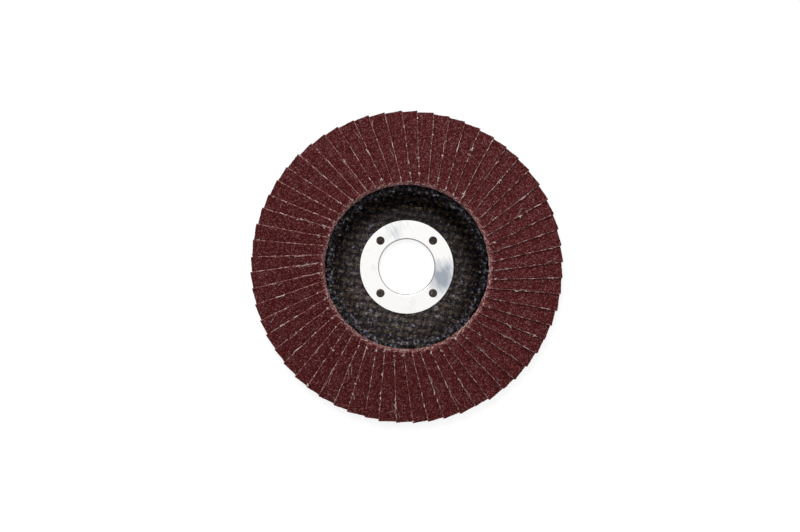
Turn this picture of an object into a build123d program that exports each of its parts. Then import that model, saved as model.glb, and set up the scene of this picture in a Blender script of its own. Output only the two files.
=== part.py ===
"""Flap disc for an angle grinder: a pressed backing plate, a metal centre ring, a bed of
adhesive and a fan of abrasive flaps that overlap like roof tiles.

Millimetres. +Z is the abrasive side. The origin is the centre of the bore on the back face of
the hub. Seen from +Z the flaps step down clockwise, so each one lies on its clockwise neighbour.
"""

import os
from math import asin, cos, degrees, pi, radians, sin, sqrt, tan

from build123d import *

# Whole disc
disc_diameter = 125.0       # over the outer corners of the flaps
bore_diameter = 22.23       # the usual arbor hole
cone_angle = 10.0           # degrees that the plate's face falls towards the rim

# Backing plate
plate_thickness = 3.0
well_floor_diameter = 47.0  # flat floor of the depressed hub
well_wall_run = 7.0         # how far outward the wall leans
well_depth = 5.4            # from the floor up to the sharp corner of the shoulder
floor_bend_radius = 2.0     # inside of the bend at the foot of the wall
shoulder_bend_radius = 0.8  # inside of the bend at the shoulder
shoulder_land = 2.1         # bare shoulder between the wall and the flaps
rim_rounding = 0.6
flap_overhang = 4.5         # the flaps reach this far past the plate

# Centre ring
flange_width = 7.6          # from the bore's wall to the flange's edge
ring_sheet = 0.45
ring_bend_radius = 0.15     # inside of the bend between flange and collar
ring_proud = 0.15           # the flange stands this much above the floor
ring_fit = 0.05             # clearance between ring and plate
ring_back_gap = 0.05        # the flared end stays this far inside the back face
flare_depth = 0.7           # countersink in the plate that takes the flared end
keying_hole_diameter = 3.4
keying_hole_count = 4
keying_hole_start = 45.0    # degrees from +X
resin_sunk = 0.1            # the resin in the keying holes ends below the flange

# Fan of flaps
flap_count = 60
flap_width = 13.0
flap_thickness = 0.95
root_gap = 0.16             # air between neighbours at the inner end
tip_gap = 0.35              # and at the outer end, where they fan open
first_flap_angle = 91.9     # centreline of flap 1, degrees counter-clockwise from +X
flaps_per_node = 2

# Adhesive bed
adhesive_film = 0.25        # least thickness under the low edge of a flap
bed_setback = 1.8           # the bed starts this far outside the flaps' inner ends
bed_rim_margin = 1.5        # and ends this far inside the plate's rim
seat_clearance = 0.05

bore_radius = bore_diameter / 2
disc_radius = disc_diameter / 2
plate_radius = disc_radius - flap_overhang
floor_radius = well_floor_diameter / 2
shoulder_radius = floor_radius + well_wall_run
shoulder_height = plate_thickness + well_depth
fall = radians(cone_angle)


def cone_height(distance):
    """Height of the plate's conical front face at a distance from the axis."""
    return shoulder_height - (distance - shoulder_radius) * tan(fall)


os.makedirs("parts", exist_ok=True)


# Backing plate ------------------------------------------------------------------------------
# A pressed laminate of even thickness: its front line is drawn and offset to the back.
ring_radius = bore_radius + flange_width
flange_face = plate_thickness + ring_proud
flange_seat = flange_face - ring_sheet
collar_seat_radius = bore_radius + ring_sheet + ring_fit
keying_circle_radius = bore_radius + flange_width / 2

with BuildPart() as backing_plate:
    with BuildSketch(Plane.XZ):
        with BuildLine():
            FilletPolyline(
                (collar_seat_radius, plate_thickness),
                (floor_radius, plate_thickness),
                (shoulder_radius, shoulder_height),
                (plate_radius, cone_height(plate_radius)),
                radius=[floor_bend_radius, shoulder_bend_radius + plate_thickness],
            )
            offset(amount=plate_thickness, side=Side.RIGHT)
        make_face()
    revolve(axis=Axis.Z)
    round_edges = backing_plate.edges().filter_by(GeomType.CIRCLE)
    fillet(round_edges.sort_by(SortBy.RADIUS)[-2:], rim_rounding)
    # recess for the flange, and the resin that is pressed up into its holes
    with BuildSketch(Plane.XY.offset(flange_seat)):
        Circle(ring_radius + ring_fit)
    extrude(amount=plate_thickness, mode=Mode.SUBTRACT)
    with BuildSketch(Plane.XY.offset(flange_seat)):
        with PolarLocations(keying_circle_radius, keying_hole_count, keying_hole_start):
            Circle(keying_hole_diameter / 2 - ring_fit)
    extrude(amount=ring_sheet - resin_sunk)
    # the hole's edges: eased in front for the ring's bend, countersunk behind for its flare
    hole_wall = backing_plate.faces().filter_by(GeomType.CYLINDER).sort_by(SortBy.RADIUS)
    hole_wall = [face for face in hole_wall if abs(face.radius - collar_seat_radius) < ring_fit]
    hole_edges = hole_wall[0].edges().filter_by(GeomType.CIRCLE).sort_by(Axis.Z)
    fillet(hole_edges[-1], ring_bend_radius - ring_fit)
    chamfer(hole_edges[0], flare_depth)
backing_plate.part.label = "backing_plate"
export_step(backing_plate.part, "parts/backing_plate.step")


# Centre ring --------------------------------------------------------------------------------
# Pressed from one sheet: the side that faces the bore is drawn and offset towards the plate.
flare_knee = flare_depth - (ring_sheet + ring_fit) * tan(pi / 8)
flare_run = flare_knee - ring_back_gap

with BuildPart() as centre_ring:
    with BuildSketch(Plane.XZ):
        with BuildLine():
            FilletPolyline(
                (ring_radius, flange_face),
                (bore_radius, flange_face),
                (bore_radius, flare_knee),
                (bore_radius + flare_run, ring_back_gap),
                radius=[ring_bend_radius + ring_sheet, ring_sheet / 2],
            )
            offset(amount=ring_sheet, side=Side.LEFT)
        make_face()
    revolve(axis=Axis.Z)
    with PolarLocations(keying_circle_radius, keying_hole_count, keying_hole_start):
        Hole(keying_hole_diameter / 2)
centre_ring.part.label = "centre_ring"
export_step(centre_ring.part, "parts/centre_ring.step")


# Fan of flaps -------------------------------------------------------------------------------
# A flap is a strip laid outward along the cone. Its counter-clockwise edge sits in the adhesive
# and it leans up clockwise until it clears its neighbour, steeply at the crowded inner end and
# less at the outer end, so it is twisted between the two: a ruled loft of two sections.
flap_step = 2 * pi / flap_count


class Station:
    """A section across the fan: how far apart the flaps lie there and how much they lean."""

    def __init__(self, distance, air):
        self.distance = distance
        self.pitch = distance * flap_step
        self.lean = asin((flap_thickness + air) / self.pitch)
        self.reach = flap_width / 2 * cos(self.lean)
        self.low_side = flap_thickness / 2 * sin(self.lean) - self.reach
        self.top = adhesive_film + flap_width * sin(self.lean) + flap_thickness * cos(self.lean)


root = Station(shoulder_radius + shoulder_land, root_gap)
tip = Station(disc_radius, tip_gap)
# a section stands square to the cone and its high corner leans outward, so the tip's is drawn
# in until that corner lies on the disc's diameter
tip.distance = sqrt(disc_radius**2 - tip.reach**2) - tip.top * sin(fall)


def across_flap(number, distance):
    """Plane across a flap at a distance from the axis: x runs clockwise, y stands off the cone."""
    turn = radians(first_flap_angle) - number * flap_step
    return Plane(
        origin=(distance * cos(turn), distance * sin(turn), cone_height(distance)),
        x_dir=(sin(turn), -cos(turn), 0),
        z_dir=(-cos(fall) * cos(turn), -cos(fall) * sin(turn), sin(fall)),
    )


def strip_section(number, station, width, thickness, clearance=0.0):
    """Section of a flap, or with a clearance of the room that the adhesive leaves it."""
    with BuildSketch(across_flap(number, station.distance)) as section:
        with Locations((station.low_side - clearance, adhesive_film - clearance)):
            Rectangle(width, thickness, rotation=degrees(station.lean), align=Align.MIN)
    return section.sketch


for first in range(0, flap_count, flaps_per_node):
    numbers = range(first, min(first + flaps_per_node, flap_count))
    with BuildPart() as flaps:
        for number in numbers:
            ends = [strip_section(number, end, flap_width, flap_thickness) for end in (root, tip)]
            loft(ends, ruled=True)
    flaps.part.label = "flaps_" + "_".join(f"{number + 1:02d}" for number in numbers)
    export_step(flaps.part, f"parts/{flaps.part.label}.step")


# Adhesive bed -------------------------------------------------------------------------------
# A conical band of resin on the plate. Each flap was pressed in by its low edge, which left a
# ramp under it and a step beside it, so the room of every flap is taken out of the band.
bed_inner = root.distance + bed_setback
bed_outer = plate_radius - bed_rim_margin
bed_height = adhesive_film + flap_thickness + tip_gap
room_height = 2 * bed_height

with BuildPart() as adhesive_bed:
    with BuildSketch(Plane.XZ):
        with BuildLine():
            Polyline(
                (bed_inner, cone_height(bed_inner)),
                (bed_outer, cone_height(bed_outer)),
                (bed_outer, cone_height(bed_outer) + bed_height),
                (bed_inner, cone_height(bed_inner) + bed_height),
                close=True,
            )
        make_face()
    revolve(axis=Axis.Z)
    rooms = []
    for number in range(flap_count):
        ends = [
            strip_section(number, end, end.pitch + flap_thickness, room_height, seat_clearance)
            for end in (root, tip)
        ]
        rooms.append(loft(ends, ruled=True, mode=Mode.PRIVATE))
    add(rooms, mode=Mode.SUBTRACT)
adhesive_bed.part.label = "adhesive_bed"
export_step(adhesive_bed.part, "parts/adhesive_bed.step")
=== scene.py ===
import math

import bmesh
import bpy
import numpy as np
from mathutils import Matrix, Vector


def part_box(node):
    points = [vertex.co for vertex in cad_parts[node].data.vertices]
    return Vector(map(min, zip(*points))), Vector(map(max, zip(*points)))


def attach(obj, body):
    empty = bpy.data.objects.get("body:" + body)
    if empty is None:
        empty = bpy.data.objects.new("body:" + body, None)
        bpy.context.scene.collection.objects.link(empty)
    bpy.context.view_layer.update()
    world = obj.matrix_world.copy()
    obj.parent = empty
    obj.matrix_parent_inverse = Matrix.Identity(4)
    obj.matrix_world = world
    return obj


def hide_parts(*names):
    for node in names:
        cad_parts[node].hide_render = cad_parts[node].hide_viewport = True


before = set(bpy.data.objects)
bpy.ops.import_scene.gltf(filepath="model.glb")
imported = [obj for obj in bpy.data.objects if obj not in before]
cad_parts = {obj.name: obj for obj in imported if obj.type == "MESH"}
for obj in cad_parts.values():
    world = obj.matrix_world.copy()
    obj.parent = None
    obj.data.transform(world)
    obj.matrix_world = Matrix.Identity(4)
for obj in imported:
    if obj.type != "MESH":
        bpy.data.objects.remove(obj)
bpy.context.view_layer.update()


# View ---------------------------------------------------------------------------------------
# The disc lies on its back and is seen square on from above through a long lens, so that the
# fan of flaps shows its true outline.
MM = 0.001
framed_width = 319.7 * MM   # what fills the picture's width,
framed_level = 6 * MM       # measured at the height of the flaps' outer ends
camera_distance = 800 * MM
camera_place = (-2.7 * MM, 0.36 * MM)  # the disc lies a little right of the picture's middle

camera = bpy.data.objects.new("camera", bpy.data.cameras.new("camera"))
camera.location = (*camera_place, framed_level + camera_distance)
camera.data.sensor_width = 36
camera.data.lens = camera.data.sensor_width * camera_distance / framed_width
camera.data.clip_start = 10 * MM
camera.data.clip_end = 20
bpy.context.scene.collection.objects.link(camera)
bpy.context.scene.camera = camera
bpy.context.scene.view_settings.view_transform = "Standard"


# Backing plate ------------------------------------------------------------------------------
# Layers of open glass cloth, pressed hot in black phenolic resin into one stiff dished plate.
# The strands stand out as an olive brown grid on both faces, with lumpy black resin in its
# openings, and resin is squeezed up as four dark plugs into the holes of the metal ring.
weft_angle = math.radians(-9.3)     # the cloth lies a little askew in the press
warp_angle = math.radians(72.5)
weft_pitch = 2.99 * MM              # from strand to strand
warp_pitch = 2.72 * MM
strand_share = 0.62                 # of the pitch, the rest is open and full of resin
strand_count = 60                   # each way, more than enough to cross the plate
strand_swing = 0.40                 # of its height, by which a strand rises and dives
weave_depth = 0.22 * MM             # from the strands' crowns down to the resin between them
back_weave_depth = 0.16 * MM        # the same on the back, which is pressed smoother
resin_lumps = 0.15 * MM             # unevenness of the resin in the cloth's openings
strand_grain = 0.03 * MM            # and of the strands
bare_radius = 34.2 * MM             # the front is bare as far as the flaps' inner ends
turn_parts = 470                    # points in each of the mesh's rings
fine_run = 0.27 * MM                # spacing of the rings on the bare front
back_run = 1.1 * MM                 # on the back
hidden_run = 4.4 * MM               # and under the metal ring and the flaps
plug_level = 3.05 * MM              # the resin stops just below the metal ring's face
plug_foot = 2.6 * MM                # its stem ends inside the plate
plug_radius = 1.68 * MM
plug_circle = 14.915 * MM           # from the axis to the middle of a plug
plug_angles = [math.radians(45 + 90 * k) for k in range(4)]
plug_rings = 8
plug_parts = 32
plug_look = (0.95, 0, 0.9)          # like a crown of the cloth: its height, warp, pale
filament_size = (1.6 * MM, 0.35 * MM, 0.6 * MM)    # along a strand, across it and through it
lump_spacing = 1.2 * MM
pore_spacing = 0.5 * MM
glint_levels = (6.0 * MM, 8.4 * MM)  # between these the painted glints on the lumps grow crowded
dust_and_shade_levels = (1.3 * MM, 8.5 * MM)  # between these the dust thins out
dust_and_shade_slant = (0.03, 0.09, 1.0)      # its direction of thinning, nearly straight up; its lean to +Y is painted shade there


def outline_of(name, turn):
    """(r, z) points, in order, of what a half plane through the axis cuts from a turned node."""
    work = bmesh.new()
    work.from_mesh(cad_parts[name].data)
    bmesh.ops.remove_doubles(work, verts=work.verts, dist=1e-7)
    everything = work.verts[:] + work.edges[:] + work.faces[:]
    aside = Vector((-math.sin(turn), math.cos(turn), 0))
    outward = Vector((math.cos(turn), math.sin(turn), 0))
    cut = bmesh.ops.bisect_plane(work, geom=everything, plane_co=(0, 0, 0), plane_no=aside)
    beside = {}
    for edge in cut["geom_cut"]:
        if isinstance(edge, bmesh.types.BMEdge) and edge.verts[0].co.dot(outward) > 0:
            for here, there in (edge.verts, reversed(edge.verts)):
                beside.setdefault(here, []).append(there)
    # from the top of the bore's wall, and first outward along the front
    line = [min(beside, key=lambda vertex: vertex.co.dot(outward) * 10 - vertex.co.z)]
    line.append(max(beside[line[0]], key=lambda vertex: vertex.co.dot(outward)))
    while line[-1] != line[0]:
        line.append(next(v for v in beside[line[-1]] if v != line[-2]))
    points = np.array([(v.co.dot(outward), v.co.z) for v in line])
    work.free()
    return points


def divided(line, spacing):
    """A closed line with points added, so that no part of a run is longer than its spacing."""
    points = []
    for start, end in zip(line[:-1], line[1:]):
        run = end - start
        parts = math.ceil(np.linalg.norm(run) / spacing(start[0] + run[0] / 2, run[0]))
        points += [start + run * k / parts for k in range(parts)]
    return np.array(points)


# each strand's own shift and width, as shares of the pitch, and each crossing's own shade
cloth_dice = np.random.default_rng(7)
strand_shift, strand_width = {}, {}
for way in ("weft", "warp"):
    strand_shift[way] = cloth_dice.normal(0, 0.07, strand_count)
    strand_width[way] = cloth_dice.uniform(0.85, 1.12, strand_count) * strand_share
crossing_tone = cloth_dice.random((strand_count, strand_count))


def weave(x, y):
    """The cloth at a place: how high it stands, from 0 in its gaps to 1 on its crowns, whether
    the weft (1) or the warp (0) is on top, and the shade of that crossing."""
    # the strands wander by up to a seventh of their spacing
    sway = 0.10 * np.sin(x * 370 + 1.0) * np.cos(y * 290) + 0.05 * np.sin(x * 900 - y * 700)
    across = {
        "weft": (y * math.cos(weft_angle) - x * math.sin(weft_angle)) / weft_pitch + sway,
        "warp": (x * math.sin(warp_angle) - y * math.cos(warp_angle)) / warp_pitch - sway,
    }
    number = {way: np.round(across[way]).astype(int) for way in across}
    # a plain weave: where one way rises, the other dives under it
    heights = {}
    for way, other, first in (("warp", "weft", 1), ("weft", "warp", -1)):
        index = number[way] + strand_count // 2
        aside = across[way] - number[way] - strand_shift[way][index]
        round_top = np.sqrt(np.clip(1 - (aside * 2 / strand_width[way][index])**2, 0, 1))
        rise = first * np.cos(np.pi * number[way]) * np.cos(np.pi * across[other])
        heights[way] = round_top * (1 - strand_swing + strand_swing * rise)
    over = (heights["weft"] > heights["warp"]).astype(float)
    tone = crossing_tone[number["weft"] + strand_count // 2, number["warp"] + strand_count // 2]
    return np.maximum(heights["weft"], heights["warp"]), over, tone


def fade(value, start, end):
    """0 before start, 1 after end, and a straight change between."""
    return np.clip((value - start) / (end - start), 0, 1)


def grid_faces(rows, columns, closed_rows=False, closed_columns=False, first=0):
    """Quads between the points of a grid that are numbered row by row."""
    row = np.arange(rows if closed_rows else rows - 1)[:, None]
    column = np.arange(columns if closed_columns else columns - 1)[None, :]
    next_row = (row + 1) % rows * columns
    next_column = (column + 1) % columns
    corners = (row * columns + column, row * columns + next_column,
               next_row + next_column, next_row + column)
    return np.stack([c.ravel() for c in corners], axis=1) + first


def cap(ring):
    """Quads that close a ring with an even number of points."""
    return np.array([[ring[0], *ring[k : k + 3]] for k in range(1, len(ring) - 2, 2)])


def new_piece(name, points, faces, materials, face_material=None):
    """A mesh object of the object's own, riding on the disc's one body."""
    mesh = bpy.data.meshes.new(name)
    mesh.from_pydata(points, [], faces)
    for material in materials:
        mesh.materials.append(material)
    if face_material is not None:
        mesh.polygons.foreach_set("material_index", face_material)
    mesh.update()
    piece = bpy.data.objects.new(name, mesh)
    bpy.context.scene.collection.objects.link(piece)
    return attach(piece, "root")


def store(piece, name, values):
    """Keeps three values for each point of a piece, for its material to read."""
    field = piece.data.attributes.new(name, "FLOAT_VECTOR", "POINT")
    field.data.foreach_set("vector", np.asarray(values, np.float32).ravel())


def lay_flat(piece, places):
    """Gives a piece the flat map that its patterns are kept in, a place for each face corner."""
    layer = piece.data.uv_layers.new(name="OFBake")
    layer.uv.foreach_set("vector", np.asarray(places, np.float32).ravel())


def linear(code):
    """The linear colour that a shader takes, from an sRGB hex colour."""
    parts = [int(code[i : i + 2], 16) / 255 for i in (1, 3, 5)]
    return [c / 12.92 if c <= 0.04045 else ((c + 0.055) / 1.055) ** 2.4 for c in parts] + [1]


def new_material(name):
    material = bpy.data.materials.new(name)
    material.use_nodes = True
    material.node_tree.nodes.clear()
    return material


def add(owner, kind, inputs, stops=(), **settings):
    """Adds a node with its settings and a ramp's stops, and sets or links its inputs, which are
    told by name, or by number where several have one name."""
    tree = owner.node_tree
    made = tree.nodes.new("ShaderNode" + kind)
    for name, value in settings.items():
        setattr(made, name, value)
    for number, (place, code) in enumerate(stops):
        ramp = made.color_ramp.elements
        stop = ramp[number] if number < 2 else ramp.new(place)
        stop.position = place
        stop.color = linear(code)
    for name, value in inputs.items():
        by_number = isinstance(name, int)
        socket = made.inputs[name] if by_number else next(
            s for s in made.inputs if s.name == name and s.enabled)
        if isinstance(value, bpy.types.Node):
            value = next(s for s in value.outputs if s.enabled)
        if isinstance(value, bpy.types.NodeSocket):
            tree.links.new(value, socket)
        else:
            socket.default_value = value
    return made


# Black phenolic resin over glass cloth, as it comes from the press: glossy black, with lumps
# whose blue grey is painted glints of the sky, crowded on the shoulder and few on the wall, and
# olive brown dashes where it is thin over the strands' crowns. Dust greys the floor; its slant,
# which darkens the +Y side of the well, and the dark pores are painted shade. The lumps are drawn
# 0.8 mm wide and the filaments in a strand 0.35 mm wide, both many times real.
laminate = new_material("glass_cloth_laminate")
place = add(laminate, "TexCoord", {}).outputs["Object"]
level = add(laminate, "SeparateXYZ", {0: place}).outputs["Z"]
cloth = add(laminate, "Attribute", {}, attribute_name="cloth").outputs["Vector"]
cloth = add(laminate, "SeparateXYZ", {0: cloth})
# streaks of filaments along whichever strand is on top
fibres = []
for angle in (warp_angle, weft_angle):
    lengthwise = add(laminate, "Mapping", {
        "Vector": place, "Rotation": (0, 0, angle), "Scale": filament_size},
        vector_type="TEXTURE")
    fibres.append(add(laminate, "TexNoise", {"Vector": lengthwise, "Scale": 1.0, "Detail": 2}))
fibre = add(laminate, "Mix", {"Factor": cloth.outputs["Y"], "A": fibres[0].outputs["Fac"],
                              "B": fibres[1].outputs["Fac"]}, data_type="FLOAT")
# dust lies thickest on the floor; that it reaches further up the wall toward -Y is painted shade,
# leaving the +Y side of the well, by the wall and flaps on the lamp's side, darker
dusty = add(laminate, "VectorMath", {0: place, 1: dust_and_shade_slant}, operation="DOT_PRODUCT")
dust = add(laminate, "MapRange", {"Value": dusty, "From Min": dust_and_shade_levels[0],
                                  "From Max": dust_and_shade_levels[1], "To Min": 0.42, "To Max": -0.15})
# olive shows on the crowns, where fibres, crossing and dust make it pale; its excess on the weft,
# whose sides face the lamp, is painted light
crown = add(laminate, "MapRange", {"Value": cloth.outputs["X"], "From Min": 0.1,
                                   "From Max": 0.75, "To Min": 0.15})
crown = add(laminate, "Math", {0: crown, 1: add(laminate, "MapRange", {
    "Value": cloth.outputs["Y"], "To Min": 0.8})}, operation="MULTIPLY")
thin = add(laminate, "Math", {0: fibre, 1: 1.6, 2: -0.45}, operation="MULTIPLY_ADD")
thin = add(laminate, "Math", {0: cloth.outputs["Z"], 1: 0.2, 2: thin}, operation="MULTIPLY_ADD")
thin = add(laminate, "Math", {0: dust, 1: 0.75, 2: thin}, operation="MULTIPLY_ADD")
thin = add(laminate, "Math", {0: thin, 1: crown}, operation="MULTIPLY")
olive = add(laminate, "ValToRGB", {"Fac": thin}, stops=[
    (0.1, "#020101"), (0.35, "#170f09"), (0.55, "#33291e"), (0.8, "#4d4337"), (1.0, "#675d53")])
# lumps stand out of the black resin, painted blue grey as glints of the sky, the more the higher
# up the wall
lumps = add(laminate, "TexNoise", {"Vector": place, "Scale": 1 / lump_spacing, "Detail": 2})
glint_rise = add(laminate, "MapRange", {"Value": level, "From Min": glint_levels[0],
                                   "From Max": glint_levels[1], "To Min": -0.04, "To Max": 0.105})
lump_glint = add(laminate, "Math", {0: lumps, 1: glint_rise}, operation="ADD")
lump_glint = add(laminate, "Math", {0: dust, 1: 0.18, 2: lump_glint}, operation="MULTIPLY_ADD")
# black resin, with painted blue grey glints on the lumps
resin_and_glints = add(laminate, "ValToRGB", {"Fac": lump_glint}, stops=[
    (0.50, "#010101"), (0.58, "#0f0d0f"), (0.66, "#38373e"), (0.80, "#767784")])
coloured = add(laminate, "Mix", {"Factor": 1.0, "A": resin_and_glints, "B": olive}, data_type="RGBA",
               blend_type="ADD")
# dust greys it, and its slant paints shade on the +Y side of the well
coloured = add(laminate, "Mix", {"Factor": dust, "A": coloured, "B": linear("#3a3537")},
               data_type="RGBA", blend_type="ADD")
# painted shade in pores darkens all of it in places and lightens it between, and fibres and
# lumps roughen it
pore_shade = add(laminate, "TexNoise", {"Vector": place, "Scale": 1 / pore_spacing, "Detail": 1})
pore_shade = add(laminate, "MapRange", {"Value": pore_shade, "From Min": 0.38, "From Max": 0.62,
                                   "To Min": 0.35, "To Max": 1.4})
coloured = add(laminate, "Mix", {"Factor": 1.0, "A": coloured, "B": pore_shade}, data_type="RGBA",
               blend_type="MULTIPLY")
skin = add(laminate, "Math", {0: fibre, 1: 0.4, 2: lumps}, operation="MULTIPLY_ADD")
skin = add(laminate, "Bump", {"Height": skin, "Strength": 1.0, "Distance": 0.25 * MM})
# its reflections are tinted blue, a painted cast of sky light
laminate_shader = add(laminate, "BsdfPrincipled", {
    "Base Color": coloured, "Roughness": 0.27, "Specular IOR Level": 0.07,
    "Specular Tint": linear("#e2e4f6"), "Normal": skin})
add(laminate, "OutputMaterial", {"Surface": laminate_shader})

ring_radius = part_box("centre_ring")[1].x
outline = outline_of("backing_plate", math.radians(20))    # clear of the plugs


def plate_spacing(radius, outward):
    """How close the mesh's rings are: the outline runs outward in front and inward behind."""
    if outward < 0:
        return back_run
    return fine_run if ring_radius < radius < bare_radius else hidden_run


line = divided(outline, plate_spacing)
along = np.roll(line, -1, axis=0) - np.roll(line, 1, axis=0)
facing = np.stack([-along[:, 1], along[:, 0]], axis=1)
facing /= np.linalg.norm(facing, axis=1, keepdims=True)
turns = np.linspace(0, 2 * np.pi, turn_parts, endpoint=False)
x = line[:, :1] * np.cos(turns)
y = line[:, :1] * np.sin(turns)
# the relief is left off under the ring, under the flaps, at the rims and round the bore
radius = line[:, 0]
front = fade(facing[:, 1], 0.3, 0.5) * fade(radius, ring_radius + 0.1 * MM, ring_radius + 0.5 * MM)
front *= 1 - fade(radius, bare_radius - 0.8 * MM, bare_radius)
back = fade(-facing[:, 1], 0.3, 0.5) * fade(radius, 13 * MM, 15 * MM)
back *= 1 - fade(radius, 56 * MM, 57 * MM)
height, over, tone = weave(x, y)
depth = (front * weave_depth + back * back_weave_depth)[:, None] * (1 - height)
# the resin is uneven, most in the openings. It may stand a little proud in front, but not behind,
# where the disc lies on it
open_share = 1 - fade(height, 0.1, 0.5)
unevenness = strand_grain + (resin_lumps - strand_grain) * open_share
grain = cloth_dice.random(x.shape) - 0.3 * front[:, None]
depth += (front + 0.5 * back)[:, None] * unevenness * grain
points = np.stack([
    x - facing[:, :1] * depth * np.cos(turns),
    y - facing[:, :1] * depth * np.sin(turns),
    line[:, 1:] - facing[:, 1:] * depth,
], axis=2).reshape(-1, 3)
faces = grid_faces(len(line), turn_parts, closed_rows=True, closed_columns=True)[:, ::-1]
shown = (front + back)[:, None] > 0
cloth_values = np.stack([height * shown, over, tone], axis=2).reshape(-1, 3)

# the plate's flat map is one band: across it the turn, up it the way round the outline, of which
# the bare front takes the most, with the plugs in a row above it
band_height = 0.92
runs = np.linalg.norm(np.diff(line, axis=0, append=line[:1]), axis=1) * (1 + 1.5 * front)
runs = np.append(0, np.cumsum(runs)) / runs.sum() * band_height
band = np.meshgrid(np.linspace(0, 1, turn_parts + 1), runs)
band = np.stack(band, axis=2).reshape(-1, 2)
flat = band[grid_faces(len(runs), turn_parts + 1)[:, ::-1]]

# the plugs are low domes with an uneven skin, each on a straight stem
share = np.linspace(1 / plug_rings, 1, plug_rings)
rings = np.append(share, 1)[:, None] * plug_radius
levels = np.append(plug_level + (0.05 - 0.12 * share**4) * MM, plug_foot)[:, None]
plug_turns = np.arange(plug_parts) * 2 * np.pi / plug_parts
numbers = np.arange((plug_rings + 1) * plug_parts).reshape(-1, plug_parts)
foot = cap(numbers[-1][::-1])
plug_faces = np.concatenate([
    grid_faces(plug_rings + 1, plug_parts, closed_columns=True)[:, ::-1], cap(numbers[0]), foot])
plug_wheel = np.stack([np.cos(plug_turns), np.sin(plug_turns)], axis=1)
plug_flat = np.append(share, 1.15)[:, None, None] * plug_wheel * 0.025
plug_flat = plug_flat.reshape(-1, 2)[plug_faces]
plug_flat[-len(foot):] += (0.5, 0)    # the foot lies apart from the dome
for number, angle in enumerate(plug_angles):
    bumps = cloth_dice.normal(0, 0.03 * MM, (plug_rings + 1, plug_parts))
    bumps[-2:] = 0
    plug = np.stack(np.broadcast_arrays(
        plug_circle * math.cos(angle) + rings * np.cos(plug_turns),
        plug_circle * math.sin(angle) + rings * np.sin(plug_turns),
        levels + bumps), axis=2).reshape(-1, 3)
    faces = np.concatenate([faces, plug_faces + len(points)])
    points = np.concatenate([points, plug])
    cloth_values = np.concatenate([cloth_values, np.tile(plug_look, (len(plug), 1))])
    flat = np.concatenate([flat, plug_flat + (0.04 + 0.08 * number, 0.96)])

backing_plate = new_piece("backing_plate_laminate", points, faces, [laminate])
backing_plate.data.shade_smooth()
store(backing_plate, "cloth", cloth_values)
lay_flat(backing_plate, flat)
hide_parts("backing_plate")


# Centre ring --------------------------------------------------------------------------------
# Thin steel sheet, pressed to a flange and a collar and tin plated. It lines the bore and is
# flared over behind.
rolling_angle = math.radians(-62)
streak_size = (5 * MM, 0.8 * MM, 1 * MM)    # along the rolling, across it and through
cloud_spacing = 5 * MM
brown_levels = (2.7 * MM, 3.12 * MM)    # all brown below the first, none above the second
reflection_patches = [                    # centre and reach in mm, and how dark, of painted dark reflections
    ((14.4, -4.4, 3.1), 9.5, 0.50),
    ((-3.5, 15.0, 3.1), 9.0, 0.16),
]

# Bright tin plating, with faint rolling streaks and two grey blue patches of painted dark
# reflection, and brown below the face. The streaks are drawn 0.8 mm wide, several times real.
tinplate = new_material("bright_tinplate")
place = add(tinplate, "TexCoord", {}).outputs["Object"]
clouds = add(tinplate, "TexNoise", {"Vector": place, "Scale": 1 / cloud_spacing, "Detail": 3})
rolled = add(tinplate, "Mapping", {"Vector": place, "Rotation": (0, 0, rolling_angle),
                                   "Scale": streak_size}, vector_type="TEXTURE")
streaks = add(tinplate, "TexNoise", {"Vector": rolled, "Scale": 1.0, "Detail": 2})
tone_and_reflection = add(tinplate, "Math", {0: streaks, 1: 0.35}, operation="MULTIPLY")
tone_and_reflection = add(tinplate, "Math", {0: clouds, 1: 0.45, 2: tone_and_reflection}, operation="MULTIPLY_ADD")
for centre, reach, reflection_darkness in reflection_patches:
    distance = add(tinplate, "VectorMath", {0: place, 1: Vector(centre) * MM},
                   operation="DISTANCE")
    patch = add(tinplate, "MapRange", {"Value": distance, "From Min": 1 * MM,
                                       "From Max": reach * MM, "To Min": reflection_darkness, "To Max": 0})
    tone_and_reflection = add(tinplate, "Math", {0: tone_and_reflection, 1: patch}, operation="ADD")
# the plating's colour, greyed blue where the patches paint a dark reflection
plating_and_reflection = add(tinplate, "ValToRGB", {"Fac": tone_and_reflection},
            stops=[(0.46, "#fdfcfa"), (0.60, "#e6e8ea"), (0.86, "#a4aab4")])
level = add(tinplate, "SeparateXYZ", {0: place}).outputs["Z"]
# everything that lies below the face turns brown
brown_below = add(tinplate, "MapRange", {"Value": level, "From Min": brown_levels[0],
                                   "From Max": brown_levels[1], "To Min": 1, "To Max": 0})
browned = add(tinplate, "Mix", {"Factor": brown_below, "A": plating_and_reflection, "B": linear("#5b5149")},
            data_type="RGBA")
tinplate_shader = add(tinplate, "BsdfPrincipled", {
    "Base Color": browned, "Metallic": 1.0, "Roughness": 0.22})
add(tinplate, "OutputMaterial", {"Surface": tinplate_shader})
centre_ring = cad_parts["centre_ring"]
centre_ring.data.materials.clear()
centre_ring.data.materials.append(tinplate)


# Adhesive bed -------------------------------------------------------------------------------
# Two-part epoxy, laid as a band on the plate's cone. The flaps are pressed into it while it is
# soft, and it sets hard around their lower edges.

# Epoxy, filled and set: dark brown, clouded and glossy.
epoxy = new_material("set_epoxy")
place = add(epoxy, "TexCoord", {}).outputs["Object"]
clouds = add(epoxy, "TexNoise", {"Vector": place, "Scale": 1 / (3 * MM), "Detail": 3})
amber = add(epoxy, "ValToRGB", {"Fac": clouds}, stops=[(0.3, "#1d1310"), (0.7, "#35231b")])
epoxy_shader = add(epoxy, "BsdfPrincipled", {"Base Color": amber, "Roughness": 0.25})
add(epoxy, "OutputMaterial", {"Surface": epoxy_shader})
adhesive_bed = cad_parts["adhesive_bed"]
adhesive_bed.data.materials.clear()
adhesive_bed.data.materials.append(epoxy)


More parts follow.
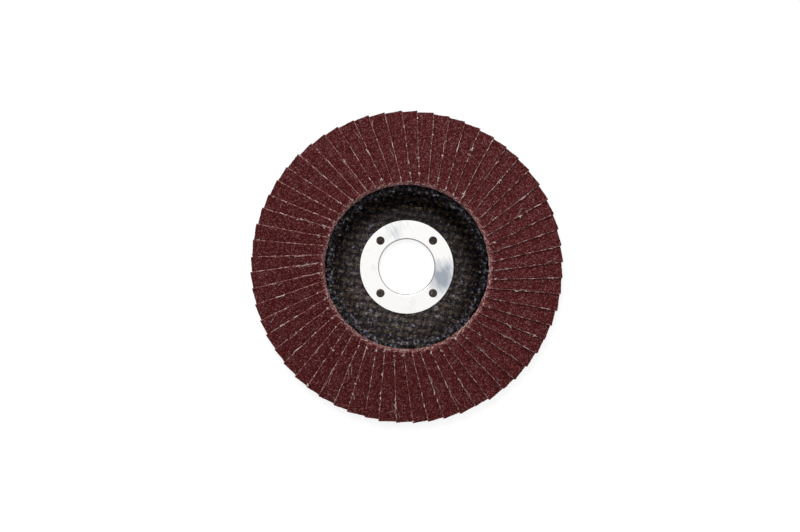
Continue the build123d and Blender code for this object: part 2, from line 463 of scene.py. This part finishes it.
# Fan of flaps -------------------------------------------------------------------------------
# Sixty strips of cotton cloth, coated on one side with brown aluminium oxide grit in red-brown
# resin. They were chopped from a long belt, so the coat is chipped back along the cuts and the
# cloth stands out below it as a pale ledge, with loose yarns, tufts and lint.
flap_count = 60
flap_width = 13.0 * MM
flap_thickness = 0.95 * MM
flap_length = 29.3 * MM
cloth_share = 0.56                  # of the thickness, below the grit coat
coat_foot = 0.60                    # the coat's lower edge, along a cut
flap_step = 2 * math.pi / flap_count
first_flap = math.radians(91.9)     # centreline of flap 1, as the fan was laid
cone_fall = math.radians(10)
rows = 80                           # points of the mesh along a flap
shown_from = 0.5                    # share of the width at which the flap on top of it ends
hidden_columns = 6                  # steps of the mesh across the covered part
shown_columns = 20                  # and across the bare part
layers = np.array([0, 0.2, 0.4, cloth_share, coat_foot, 1.0])
grain_height = 0.085 * MM           # spread of the grains about their mean
grain_sink = 0.03 * MM              # how far the mean lies below the full thickness
end_wear = 0.20 * MM                # what the coat has lost at the inner end
inner_wear = 1.5 * MM               # how far from the ends the cloth shows through the coat
outer_wear = 0.9 * MM
grit_size = 0.42 * MM               # from grain to grain in the coat's pattern
twill_repeat = 1.0 * MM             # of the cloth's slanting lines, along a flap
thread_sides = 6
yarn_width = (0.18, 0.33)           # in mm, from the thinnest to the thickest, as are the next
tuft_width = (0.14, 0.28)
stub_width = (0.12, 0.20)
fibre_width = 0.08


def solids_of(name):
    """The points of each separate solid of a node."""
    work = bmesh.new()
    work.from_mesh(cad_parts[name].data)
    bmesh.ops.remove_doubles(work, verts=work.verts, dist=1e-7)
    work.verts.ensure_lookup_table()
    seen = set()
    solids = []
    for start in range(len(work.verts)):
        if start in seen:
            continue
        seen.add(start)
        todo = [start]
        solid = []
        while todo:
            vertex = work.verts[todo.pop()]
            solid.append(tuple(vertex.co))
            for edge in vertex.link_edges:
                other = edge.other_vert(vertex).index
                if other not in seen:
                    seen.add(other)
                    todo.append(other)
        solids.append(np.array(solid))
    work.free()
    return solids


def flap_axes(number):
    """Directions at a flap: clockwise, down the cone and off the cone."""
    turn = first_flap - number * flap_step
    cos, sin = math.cos(turn), math.sin(turn)
    down = (math.cos(cone_fall) * cos, math.cos(cone_fall) * sin, -math.sin(cone_fall))
    off = (math.sin(cone_fall) * cos, math.sin(cone_fall) * sin, math.cos(cone_fall))
    return np.array([(sin, -cos, 0), down, off])


def corners_of(solid, number):
    """The eight corners of a flap, as [root or tip][low or high edge][back or grit]."""
    across, down, off = (solid @ flap_axes(number).T).T
    corners = []
    for end in (down < down.min() + 1e-6, down > down.max() - 1e-6):
        picks = [np.argmin(off[end]), np.argmin(across[end]),
                 np.argmax(across[end]), np.argmax(off[end])]
        corners.append(solid[end][picks].reshape(2, 2, 3))
    return np.array(corners)


# the cut: across runs from the low edge to the high one, through from the cloth's back to the grit
across_steps = np.concatenate([
    np.linspace(0, shown_from, hidden_columns, endpoint=False),
    np.linspace(shown_from, 1, shown_columns + 1),
])
wide = len(across_steps)
inner_layers = layers[1:-1]
loop_across = np.concatenate([across_steps, np.ones(len(inner_layers)),
                              across_steps[::-1], np.zeros(len(inner_layers))])
loop_through = np.concatenate([np.ones(wide), inner_layers[::-1],
                               np.zeros(wide), inner_layers])
around = len(loop_across)


def end_numbers(row, first):
    """Point numbers of an end face as a grid of layers and columns, new points from first on."""
    base = row * around
    numbers = np.zeros((len(layers), wide), int)
    numbers[-1] = base + np.arange(wide)
    numbers[0] = base + (2 * wide + len(inner_layers) - 1) - np.arange(wide)
    numbers[1:-1, -1] = base + wide + len(inner_layers) - 1 - np.arange(len(inner_layers))
    numbers[1:-1, 0] = base + 2 * wide + len(inner_layers) + np.arange(len(inner_layers))
    numbers[1:-1, 1:-1] = first + np.arange(len(inner_layers) * (wide - 2)).reshape(-1, wide - 2)
    return numbers


def faces_of(numbers):
    """Quads between points whose numbers are laid out as a grid."""
    return np.stack([numbers[:-1, :-1], numbers[:-1, 1:], numbers[1:, 1:], numbers[1:, :-1]],
                    axis=2).reshape(-1, 4)


end_points = len(inner_layers) * (wide - 2)
root_numbers = end_numbers(0, rows * around)
tip_numbers = end_numbers(rows - 1, rows * around + end_points)
strip_faces = np.concatenate([
    grid_faces(rows, around, closed_columns=True),
    faces_of(root_numbers),
    faces_of(tip_numbers)[:, ::-1],
])
# flat map of a strip, as if slit along its low edge and rolled out, with its two ends above it;
# the second flap of a node takes the other half of the map, and the threads a row at the top
map_half = 0.5
map_width = 0.48
way_round = np.stack([np.append(loop_across, 0) * flap_width,
                      np.append(loop_through, 1) * flap_thickness])
way_round = np.append(0, np.cumsum(np.linalg.norm(np.diff(way_round), axis=0)))
roll = np.meshgrid(way_round / way_round[-1] * map_width, np.linspace(0, 0.78, rows))
roll = np.stack(roll, axis=2).reshape(-1, 2)
end_map = np.meshgrid(across_steps * map_width, layers * 0.03)
end_map = np.stack(end_map, axis=2).reshape(-1, 2)
end_map = end_map[faces_of(np.arange(len(end_map)).reshape(-1, wide))]
strip_flat = np.concatenate([
    roll[grid_faces(rows, around + 1)],
    end_map + (0, 0.79),
    end_map[:, ::-1] + (0, 0.83),
]) + (0.01, 0.01)
inner_across, inner_through = np.meshgrid(across_steps[1:-1], inner_layers)
strip_across = np.concatenate([np.tile(loop_across, rows), *[inner_across.ravel()] * 2])
strip_through = np.concatenate([np.tile(loop_through, rows), *[inner_through.ravel()] * 2])
strip_along = np.concatenate([np.repeat(np.linspace(0, 1, rows), around),
                              np.zeros(end_points), np.ones(end_points)])
face_through = strip_through[strip_faces].mean(axis=1)
GRIT, CUT, BACK, YARN = range(4)
strip_material = np.where(face_through > coat_foot, GRIT, np.where(face_through > 0, CUT, BACK))


def uneven(dice, places, spacing, size):
    """A wavering line with random bends, each spacing apart, read at places."""
    knots = np.arange(places.min() - spacing, places.max() + 2 * spacing, spacing)
    return np.interp(places, knots, dice.normal(0, size, len(knots)))


def in_space(corners, across, along, through):
    """Points of a flap from their shares across, along and through it."""
    total = 0
    for end in (0, 1):
        for edge in (0, 1):
            for face in (0, 1):
                weight = ((along if end else 1 - along) * (across if edge else 1 - across)
                          * (through if face else 1 - through))
                total = total + weight[:, None] * corners[end, edge, face]
    return total


def strip(dice):
    """One flap's strip with a rough grit face, chipped cuts and ragged ends: across, along and
    through for each of its points."""
    across = strip_across * flap_width
    along = strip_along * flap_length
    through = strip_through * flap_thickness
    high = strip_across == 1
    shown = fade(strip_across, 0.42, 0.6)
    on_top = strip_through == 1
    coat = strip_through >= coat_foot
    inside = (strip_along > 0) & (strip_along < 1)
    count = len(across)
    # the grit: every point is a grain or the hollow between two
    grain = dice.normal(0, 1, count).clip(-1.8, 1.8)
    through = through + on_top * (grain * grain_height - grain_sink) * (0.3 + 0.7 * shown)
    side = on_top & (strip_across > shown_from) & ~high
    across = across + side * dice.uniform(-0.09, 0.09, count) * MM
    along = along + (inside & on_top) * dice.uniform(-0.1, 0.1, count) * MM
    # the long cut: wavering, with the coat chipped back from the cloth in places
    waver = uneven(dice, along, 4 * MM, 0.06 * MM) + uneven(dice, along, 0.7 * MM, 0.03 * MM)
    chip = uneven(dice, along, 1.1 * MM, 0.13 * MM) + uneven(dice, along, 0.4 * MM, 0.06 * MM)
    chip = (chip + 0.10 * MM).clip(0, 0.4 * MM) + dice.uniform(0, 0.05, count) * MM
    fringe = 0.07 * MM + np.abs(uneven(dice, along, 0.5 * MM, 0.09 * MM))
    fringe = fringe * fade(strip_through, 0, 0.3)
    across = across + high * (waver + np.where(coat, -chip * (0.5 + 0.5 * on_top), fringe))
    # the ends: cut square, never quite clean, and worn down a little
    ragged = dice.normal(0, 0.05, count) * MM
    along = along + (strip_along == 1) * (ragged + dice.normal(0, 0.08) * MM)
    along = along - (strip_along == 0) * (np.abs(ragged) + dice.normal(0, 0.04) * MM)
    along = along - (strip_along == 0) * ~coat * dice.uniform(0.1, 0.4, count) * MM
    worn = 1 - fade(along, 0, 0.9 * MM) + 0.5 * fade(along, flap_length - 0.7 * MM, flap_length)
    through = through - on_top * end_wear * worn**2
    return np.stack([across, along, through], axis=1)


def thread(path, thickness):
    """A loose thread along a path: a thin closed tube that tapers at both ends, and its flat map
    in a unit square."""
    onward = np.gradient(path, axis=0)
    aside = np.cross(onward, (0.31, 0.22, 0.93))    # square to the path, any side will do
    aside /= np.linalg.norm(aside, axis=1, keepdims=True)
    above = np.cross(onward, aside)
    above /= np.linalg.norm(above, axis=1, keepdims=True)
    reach = thickness / 2 * np.sqrt(np.sin(np.linspace(0.08, 0.92, len(path)) * np.pi))
    turn = np.arange(thread_sides) * 2 * np.pi / thread_sides
    wheel = aside[:, None] * np.cos(turn)[:, None] + above[:, None] * np.sin(turn)[:, None]
    points = path[:, None] + reach[:, None, None] * wheel
    numbers = np.arange(len(path) * thread_sides).reshape(-1, thread_sides)
    faces = np.concatenate([grid_faces(*numbers.shape, closed_columns=True),
                            cap(numbers[0][::-1]), cap(numbers[-1])])
    roll = np.stack(np.meshgrid(np.linspace(0.1, 0.9, thread_sides + 1),
                                np.linspace(0.25, 0.75, len(path))), axis=2).reshape(-1, 2)
    tip = 0.1 * np.stack([np.cos(turn), np.sin(turn)], axis=1)
    flat = np.concatenate([roll[grid_faces(len(path), thread_sides + 1)],
                           tip[cap(np.arange(thread_sides)[::-1])] + (0.5, 0.12),
                           tip[cap(np.arange(thread_sides))] + (0.5, 0.88)])
    return points.reshape(-1, 3), faces, flat


def curled(dice, start, heading, length, curl, count):
    """A path of count points from start along heading, that bends off to a random side."""
    heading = heading / np.linalg.norm(heading)
    bend = np.cross(heading, dice.normal(0, 1, 3))
    bend /= np.linalg.norm(bend)
    step = np.linspace(0, 1, count)[:, None]
    return start + length * (step * heading + curl * step**2 * bend)


def loose_threads(dice):
    """The yarns, tufts and lint along one flap's cuts, in its own across, along, through."""
    made = []
    brink = np.array([flap_width, 0, cloth_share * flap_thickness])
    # ends of yarn that lie along the cut
    for _ in range(dice.integers(2, 5)):
        start = brink + np.array([dice.uniform(-0.05, 0.15), dice.uniform(1, 26), 0.05]) * MM
        heading = np.array([dice.normal(0, 0.16), 1, abs(dice.normal(0, 0.14))])
        length = dice.gamma(2.2, 0.45) * MM + 0.4 * MM
        path = curled(dice, start, heading, length, 0.12, 6)
        made.append(thread(path, dice.uniform(*yarn_width) * MM))
    # tufts where yarns were torn, most often near the inner end
    near_end = dice.uniform(0.3, 3.5)
    tufts = [near_end] if dice.random() < 0.7 else []
    tufts += list(dice.uniform(3, 29, dice.integers(0, 3)))
    for spot in tufts:
        size = dice.uniform(0.5, 1.0)
        for _ in range(dice.integers(4, 8)):
            start = brink + np.array([dice.normal(0, 0.08), spot + dice.normal(0, 0.18), 0.1]) * MM
            heading = np.array([dice.normal(0.2, 0.7), dice.normal(0, 1), dice.uniform(0.1, 0.9)])
            length = size * dice.uniform(0.6, 1.3) * MM
            path = curled(dice, start, heading, length, 0.35, 5)
            made.append(thread(path, dice.uniform(*tuft_width) * MM))
    # stubs of yarn in the cut of the inner end
    for _ in range(dice.integers(3, 7)):
        start = np.array([dice.uniform(8.5, 13), 0.02, dice.uniform(0.45, 0.75)]) * MM
        heading = np.array([dice.normal(0, 1), dice.normal(0, 0.3), 0.15])
        path = curled(dice, start, heading, dice.uniform(0.3, 0.8) * MM, 0.2, 4)
        made.append(thread(path, dice.uniform(*stub_width) * MM))
    # long single fibres, which lie over the edge
    for _ in range(dice.integers(0, 3)):
        start = brink + np.array([dice.uniform(-0.6, 0), dice.uniform(1, 24), 0.50]) * MM
        heading = np.array([dice.normal(0, 0.25), 1, 0.05])
        path = curled(dice, start, heading, dice.uniform(1.5, 5) * MM, 0.10, 9)
        made.append(thread(path, fibre_width * MM))
    return made


def flap(corners, number):
    """One flap with its threads: its points, faces, face materials, the points' places in the
    flat strip, and the threads' flat maps."""
    dice = np.random.default_rng(1000 + number)
    places = [strip(dice)]
    faces = [strip_faces]
    flats = []
    for thread_places, thread_faces, thread_flat in loose_threads(dice):
        faces.append(thread_faces + sum(map(len, places)))
        places.append(thread_places)
        flats.append(thread_flat)
    across, along, through = np.concatenate(places).T
    # each flap lies a little askew and lifts or sinks a little at its outer end
    askew = dice.normal(0, 0.16, 2) * MM
    lift = dice.uniform(-0.1, 0.12) * MM
    share = across / flap_width
    laid = np.stack([across + share**2 * (askew[0] + askew[1] * along / flap_length), along,
                     through + lift * share * along / flap_length], axis=1)
    points = in_space(corners, *(laid / (flap_width, flap_length, flap_thickness)).T)
    faces = np.concatenate(faces)
    looks = np.append(strip_material, np.full(len(faces) - len(strip_material), YARN))
    return points, faces, looks, np.stack([across, along, through], axis=1), flats


# Brown aluminium oxide in red-brown phenolic resin: grains drowned in dark red resin, with deep
# painted shade between them and a greyish pink facet where one breaks through. Along the ends the
# coat is worn to the paler cloth. Real 60 grit is 0.27 mm, drawn at 0.42 mm.
grit = new_material("aluminium_oxide_grit")
place = add(grit, "TexCoord", {}).outputs["Object"]
grains = add(grit, "TexVoronoi", {"Vector": place, "Scale": 1 / grit_size})
fine = add(grit, "TexNoise", {"Vector": place, "Scale": 1 / (0.2 * MM), "Detail": 2})
drifts = add(grit, "TexNoise", {"Vector": place, "Scale": 1 / (2.6 * MM), "Detail": 3})
shade = add(grit, "SeparateColor", {0: grains.outputs["Color"]}).outputs["Red"]
shade = add(grit, "Math", {0: fine, 1: 0.30, 2: shade}, operation="MULTIPLY_ADD")
shade = add(grit, "Math", {0: drifts, 1: 0.35, 2: shade}, operation="MULTIPLY_ADD")
shade = add(grit, "Math", {0: shade, 1: 0.63}, operation="MULTIPLY")
# a grain's own red, and painted shade in the hollows between the grains
tone = add(grit, "ValToRGB", {"Fac": shade},
           stops=[(0.28, "#400708"), (0.50, "#631b1b"), (0.70, "#7a3f3f"), (0.90, "#977678")])
hollow_shade = add(grit, "MapRange", {"Value": grains.outputs["Distance"], "From Min": 0.30,
                                "From Max": 0.72})
coloured = add(grit, "Mix", {"Factor": hollow_shade, "A": tone, "B": linear("#3c0306")},
               data_type="RGBA")
# paler at the two ends, in patches
along = add(grit, "Attribute", {}, attribute_name="strip_place").outputs["Vector"]
along = add(grit, "SeparateXYZ", {0: along}).outputs["Y"]
inner_end = add(grit, "MapRange", {"Value": along, "From Min": 0.0, "From Max": inner_wear,
                                   "To Min": 1, "To Max": 0})
outer_end = add(grit, "MapRange", {"Value": along, "From Min": flap_length - outer_wear,
                                   "From Max": flap_length, "To Max": 0.5})
wear = add(grit, "Math", {0: inner_end, 1: outer_end}, operation="ADD")
wear = add(grit, "Math", {0: wear, 1: drifts}, operation="MULTIPLY")
wear = add(grit, "MapRange", {"Value": wear, "From Min": 0.15, "From Max": 0.7})
bared = add(grit, "ValToRGB", {"Fac": shade},
            stops=[(0.30, "#451818"), (0.60, "#753e3b"), (0.85, "#ad7f79")])
worn = add(grit, "Mix", {"Factor": wear, "A": coloured, "B": bared}, data_type="RGBA")
facets = add(grit, "Math", {0: fine, 1: 0.8, 2: grains.outputs["Distance"]},
             operation="MULTIPLY_ADD")
facets = add(grit, "Bump", {"Height": facets, "Strength": 0.8, "Distance": 0.15 * MM},
             invert=True)
grit_shader = add(grit, "BsdfPrincipled", {
    "Base Color": worn, "Roughness": 0.6, "Specular IOR Level": 0.15, "Normal": facets})
add(grit, "OutputMaterial", {"Surface": grit_shader})

# Cut edge of the cloth: yarn ends, undyed inside and stained by the coat's resin here and there.
cut_cloth = new_material("cut_cotton_edge")
place = add(cut_cloth, "TexCoord", {}).outputs["Object"]
stain = add(cut_cloth, "TexNoise", {"Vector": place, "Scale": 1 / (0.9 * MM), "Detail": 3})
tone = add(cut_cloth, "ValToRGB", {"Fac": stain},
           stops=[(0.36, "#5a2a29"), (0.50, "#8c5b58"), (0.66, "#caaba8")])
cut_shader = add(cut_cloth, "BsdfPrincipled", {
    "Base Color": tone, "Roughness": 0.9, "Specular IOR Level": 0.2})
add(cut_cloth, "OutputMaterial", {"Surface": cut_shader})

# Back of the cloth: cotton twill sized with brown resin, matt, with slanting lines 0.7 mm apart.
cloth_back = new_material("sized_cotton_back")
place = add(cloth_back, "Attribute", {}, attribute_name="strip_place").outputs["Vector"]
stain = add(cloth_back, "TexNoise", {"Vector": place, "Scale": 1 / (3 * MM), "Detail": 3})
tone = add(cloth_back, "ValToRGB", {"Fac": stain}, stops=[(0.3, "#5d3229"), (0.7, "#7d4c38")])
twill = add(cloth_back, "TexWave", {"Vector": place, "Scale": 0.628 / twill_repeat},
            bands_direction="DIAGONAL")
raised = add(cloth_back, "Bump", {"Height": twill, "Strength": 0.5, "Distance": 0.08 * MM})
back_shader = add(cloth_back, "BsdfPrincipled", {
    "Base Color": tone, "Roughness": 0.85, "Specular IOR Level": 0.2, "Normal": raised})
add(cloth_back, "OutputMaterial", {"Surface": back_shader})

# Loose yarn and lint: bare cotton, off-white to pink with grinding dust, matt. A cotton fibre is
# 0.02 mm, drawn 0.08 mm and more.
loose_yarn = new_material("loose_cotton_yarn")
place = add(loose_yarn, "TexCoord", {}).outputs["Object"]
dust = add(loose_yarn, "TexNoise", {"Vector": place, "Scale": 1 / (1.2 * MM), "Detail": 2})
tone = add(loose_yarn, "ValToRGB", {"Fac": dust}, stops=[(0.38, "#b18783"), (0.6, "#f3e5e3")])
yarn_shader = add(loose_yarn, "BsdfPrincipled", {
    "Base Color": tone, "Roughness": 0.95, "Specular IOR Level": 0.2})
add(loose_yarn, "OutputMaterial", {"Surface": yarn_shader})

for node in sorted(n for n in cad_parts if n.startswith("flaps_")):
    numbers = [int(part) - 1 for part in node.split("_")[1:]]
    clockwise = flap_axes(numbers[0])[0]
    solids = sorted(solids_of(node), key=lambda solid: float(solid.mean(axis=0) @ clockwise))
    pair = [flap(corners_of(solid, number), number) for number, solid in zip(numbers, solids)]
    cell_width = 1 / sum(len(thread_flats) for *_, thread_flats in pair)
    cell = 0
    points, faces, looks, places, flats = [], [], [], [], []
    for side, (own_points, own_faces, own_looks, own_places, thread_flats) in enumerate(pair):
        faces.append(own_faces + sum(map(len, points)))
        points.append(own_points)
        looks.append(own_looks)
        places.append(own_places)
        flats.append(strip_flat + (side * map_half, 0))
        for thread_flat in thread_flats:
            flats.append((thread_flat + (cell, 0)) * (cell_width, 0.1) + (0, 0.89))
            cell += 1
    flaps = new_piece(node.replace("flaps", "abrasive_flaps"), np.concatenate(points),
                      np.concatenate(faces), [grit, cut_cloth, cloth_back, loose_yarn],
                      np.concatenate(looks))
    store(flaps, "strip_place", np.concatenate(places))
    lay_flat(flaps, np.concatenate(flats))
    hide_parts(node)


# Table and light ----------------------------------------------------------------------------
# A white table under a wide pale sky, bright overhead and beyond the disc, with one soft lamp
# high behind and a little to the left. The table shows white and keeps the disc's shadow.
table_size = 6.0
table_glow = 0.82
bpy.ops.mesh.primitive_plane_add(size=table_size, location=(0, 0, 0))
table = bpy.context.object
table.name = "table"

# White paper, matt. It glows to the eye and in the metal, so that it shows almost pure white,
# and lights the disc's edges no more than grey paper would.
paper = new_material("white_paper")
path = add(paper, "LightPath", {})
seen = add(paper, "Math", {0: path.outputs["Is Camera Ray"], 1: path.outputs["Is Glossy Ray"]},
           operation="MAXIMUM")
seen = add(paper, "Math", {0: seen, 1: table_glow}, operation="MULTIPLY")
matt = add(paper, "BsdfDiffuse", {"Color": linear("#8e8e8e")})
glow = add(paper, "Emission", {"Color": linear("#ffffff"), "Strength": seen})
both = add(paper, "AddShader", {0: matt, 1: glow})
add(paper, "OutputMaterial", {"Surface": both})
table.data.materials.append(paper)

sky_middle = (0.03, 0.36, 0.97)     # the direction in which the sky is brightest
sky_top = 0.98                      # its brightness there
sky_horizon = 0.02                  # and square to it, and beyond
world = bpy.data.worlds.new("studio")
bpy.context.scene.world = world
world.use_nodes = True
world.node_tree.nodes.clear()
direction = add(world, "TexCoord", {}).outputs["Generated"]
toward = add(world, "VectorMath", {0: direction, 1: sky_middle}, operation="DOT_PRODUCT")
sky = add(world, "MapRange", {"Value": toward, "To Min": sky_horizon, "To Max": sky_top})
seen = add(world, "LightPath", {}).outputs["Is Camera Ray"]
strength = add(world, "Math", {0: sky, 1: seen}, operation="MAXIMUM")
backdrop = add(world, "Background", {"Color": linear("#ffffff"), "Strength": strength})
add(world, "OutputWorld", {"Surface": backdrop})

lamp_distance = 1.3
lamp_size = 0.5
lamp_turn = math.radians(18)        # to the left of straight behind
lamp_height = math.radians(58)
lamp_power = 6.6
lamp = bpy.data.objects.new("lamp", bpy.data.lights.new("lamp", "AREA"))
lamp.data.shape = "SQUARE"
lamp.data.size = lamp_size
lamp.location = lamp_distance * Vector((
    -math.sin(lamp_turn) * math.cos(lamp_height),
    math.cos(lamp_turn) * math.cos(lamp_height),
    math.sin(lamp_height)))
lamp.rotation_euler = lamp.location.to_track_quat("Z", "Y").to_euler()
lamp.data.energy = lamp_power
bpy.context.scene.collection.objects.link(lamp)
